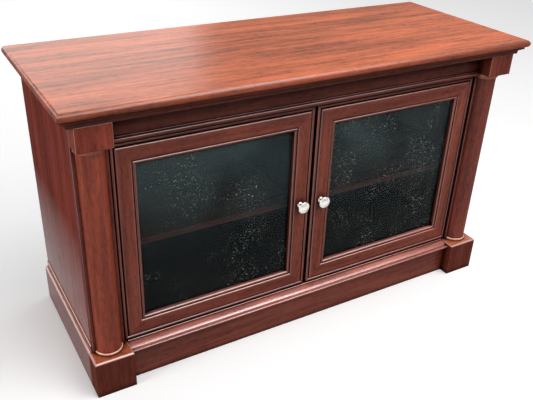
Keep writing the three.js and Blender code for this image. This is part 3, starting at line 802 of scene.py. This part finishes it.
def left_cover():
    plate_size = (COVER_WIDTH, PLATE_THICKNESS, COVER_HEIGHT)
    plate_y = BACK_FACE_Y - PLATE_THICKNESS / 2
    plate = eased_block(plate_size, (-HOLE_MIDDLE_X, plate_y, HOLE_MIDDLE_Z))
    pitch = FLAP_WIDTH + SCORE_WIDTH
    first_x = -HOLE_MIDDLE_X - pitch * (FLAPS - 1) / 2
    flap_size = (FLAP_WIDTH, FLAP_THICKNESS, FLAP_HEIGHT)
    flap_y = BACK_FACE_Y - PLATE_THICKNESS - FLAP_RISE + FLAP_THICKNESS / 2
    flaps = eased_block(flap_size, (first_x, flap_y, HOLE_MIDDLE_Z))
    row = flaps.modifiers.new("row", "ARRAY")
    row.count = FLAPS
    row.use_relative_offset = False
    row.use_constant_offset = True
    row.constant_offset_displace = (pitch, 0, 0)
    bpy.ops.object.modifier_apply(modifier="row")
    bpy.ops.object.select_all(action="DESELECT")
    flaps.select_set(True)
    plate.select_set(True)
    bpy.context.view_layer.objects.active = plate
    bpy.ops.object.join()
    bpy.ops.object.shade_smooth_by_angle(angle=SHARP)
    plate.name = "cable_cover_left"
    plate.data.materials.append(plastic)
    return plate


cover_left = left_cover()
print("cable cover:", cover_left.name, len(cover_left.data.polygons), "faces")

# %% [markdown]
# The right cover
#
# The right cover is the same moulding. It is a full copy with a mesh of its own, moved to its
# hole, and the move is applied to the mesh, so that the piece itself stays at the origin. Both
# ride on the case.

# %% The right cover, and what both ride on
def copied_to_the_right(cover):
    bpy.ops.object.select_all(action="DESELECT")
    cover.select_set(True)
    bpy.context.view_layer.objects.active = cover
    bpy.ops.object.duplicate(linked=False)
    copy = bpy.context.active_object
    copy.name = "cable_cover_right"
    copy.location.x = 2 * HOLE_MIDDLE_X
    bpy.ops.object.transform_apply(location=True, rotation=True, scale=True)
    return copy


cover_right = copied_to_the_right(cover_left)
for cover in (cover_left, cover_right):
    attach(cover, "case")
print("cable cover:", cover_right.name, len(cover_right.data.polygons), "faces")

# %% [markdown]
# Floor
#
# A wide pale floor shows where the console stands, and keeps its soft shadow. More light would
# wash out the wood, so the floor's white has two parts that only the eye sees: a pale colour,
# and a faint glow that grows with the distance from the console, which keeps the far floor from
# going grey.

# %% Floor
FLOOR_SIZE = 40.0
FLOOR_SEEN = grey(0.90)
FLOOR_BOUNCE = grey(0.25)
FLOOR_GLOW = grey(0.16)
FAR_GLOW = grey(0.62)
NO_GLOW = grey(0.0)
GLOW_GROWS = (1.8, 7.0)
FLOOR_ROUGHNESS = 0.9


def seen_by_eye(tree):
    """1 for what the camera sees directly, in a mirror or through glass, and 0 for soft light."""
    rays = tree.nodes.new("ShaderNodeLightPath").outputs
    either = greater(tree, rays["Is Camera Ray"], rays["Is Glossy Ray"])
    return greater(tree, either, rays["Is Transmission Ray"])


def floor_finish():
    material, tree, shader = blank("pale_floor")
    seen = seen_by_eye(tree)
    colour = ramp(tree, seen, [(0.0, FLOOR_BOUNCE), (1.0, FLOOR_SEEN)])
    link(tree, colour, shader.inputs["Base Color"])
    away = tree.nodes.new("ShaderNodeVectorMath")
    away.operation = "LENGTH"
    link(tree, coordinates(tree), away.inputs[0])
    distance = stretched(tree, away.outputs["Value"], *GLOW_GROWS)
    glow = mixed(tree, seen, NO_GLOW, mixed(tree, distance, FLOOR_GLOW, FAR_GLOW))
    link(tree, glow, shader.inputs["Emission Color"])
    shader.inputs["Emission Strength"].default_value = 1.0
    shader.inputs["Roughness"].default_value = FLOOR_ROUGHNESS
    shader.inputs["Specular IOR Level"].default_value = 0.0
    return material


bpy.ops.object.select_all(action="DESELECT")
bpy.ops.mesh.primitive_plane_add(size=FLOOR_SIZE, location=(0, 0, 0))
floor = bpy.context.active_object
floor.name = "floor"
floor.data.materials.append(floor_finish())
print("floor:", FLOOR_SIZE, "m wide")

# %% [markdown]
# World
#
# The world is the room around the floor. What the eye sees of it, and what the lacquer mirrors,
# is a light grey. As a lamp it would light every side alike and flatten the mouldings, so for
# soft light it is nearly dark, and the panels below shape the console.

# %% World
WORLD_SEEN = grey(0.65)
WORLD_LIGHT = grey(0.15)
world = bpy.data.worlds.new("studio")
bpy.context.scene.world = world
world.use_nodes = True
world_tree = world.node_tree
world_tone = ramp(world_tree, seen_by_eye(world_tree), [(0.0, WORLD_LIGHT), (1.0, WORLD_SEEN)])
link(world_tree, world_tone, world_tree.nodes["Background"].inputs["Color"])
print("world:", world.name)

# %% [markdown]
# Lights
#
# The photograph was taken under a bright open sky: the top shines, the upright faces are much
# darker, and every edge that faces up carries a thin bright line. Three soft strips on an arc
# over the console stand for the sky. A long panel, low behind the console to the left, lies
# where the top mirrors it towards the camera. A smaller and brighter one, well out to the left,
# lights the side panel and rounds the columns.

# %% Soft panels
def soft_panel(name, place, aim, width, height, radiance):
    """An area lamp whose power follows from its size and how bright it looks."""
    bpy.ops.object.light_add(type="AREA", location=place)
    lamp = bpy.context.active_object
    lamp.name = name
    lamp.data.shape = "RECTANGLE"
    lamp.data.size = width
    lamp.data.size_y = height
    lamp.data.energy = radiance * math.pi * width * height
    lamp.rotation_euler = (Vector(aim) - Vector(place)).to_track_quat("-Z", "Y").to_euler()
    lamp.visible_camera = False


SKY_CENTRE = Vector((1.0, -0.2, 0.6))
SKY_RADIUS = 3.0
SKY_STRIP = {"aim": (0, -0.2, 0.6), "width": 3.2, "height": 1.36}
SKY_ANGLES = {"front": 40, "middle": 66, "top": 92}
SKY_RADIANCE = {"front": 4.2, "middle": 3.2, "top": 3.2}
PANELS = {
    "rear_left_panel": {
        "place": (-0.7, 3.95, 1.95),
        "aim": (-0.4, 0.0, 0.7),
        "width": 4.8,
        "height": 1.3,
        "radiance": 3.0,
    },
    "front_left_panel": {
        "place": (-3.9, -0.6, 1.5),
        "aim": (-0.5, -0.2, 0.4),
        "width": 1.3,
        "height": 1.7,
        "radiance": 10.0,
    },
}
for name, angle in SKY_ANGLES.items():
    turn = math.radians(angle)
    place = SKY_CENTRE + Vector((0.0, -math.cos(turn), math.sin(turn))) * SKY_RADIUS
    soft_panel(f"sky_{name}", place, radiance=SKY_RADIANCE[name], **SKY_STRIP)
for name, panel in PANELS.items():
    soft_panel(name, **panel)
print("lights:", len(bpy.data.lights))

# %% [markdown]
# Camera
#
# The camera stands to the left of the console at about chest height and looks down on it. Its
# place in metres, its turn in degrees and its lens in millimetres were worked out from the
# straight edges of the console in the photograph. Framing by eye would be quicker, but edges
# that should be parallel would then lean a little differently.

# %% Camera
CAMERA_PLACE = (-0.85027, -1.35865, 1.16209)
CAMERA_TURN = (60.902, -2.021, -30.070)
LENS = 45.48
SENSOR_WIDTH = 36.0
NEAREST_SEEN = 0.05
bpy.ops.object.camera_add(location=CAMERA_PLACE)
camera = bpy.context.active_object
camera.rotation_euler = Euler([math.radians(angle) for angle in CAMERA_TURN])
camera.data.lens = LENS
camera.data.sensor_width = SENSOR_WIDTH
camera.data.clip_start = NEAREST_SEEN
bpy.context.scene.camera = camera
bpy.context.scene.view_settings.view_transform = "Standard"
print("camera:", round(camera.location.length, 2), "m from the middle of the console's foot")

# %% [markdown]
# Sizes, and the end
#
# The dressed console has to stay as large as its frame.

# The end
# Last, the view layer is brought up to date.

# %% The end
bpy.context.view_layer.update()
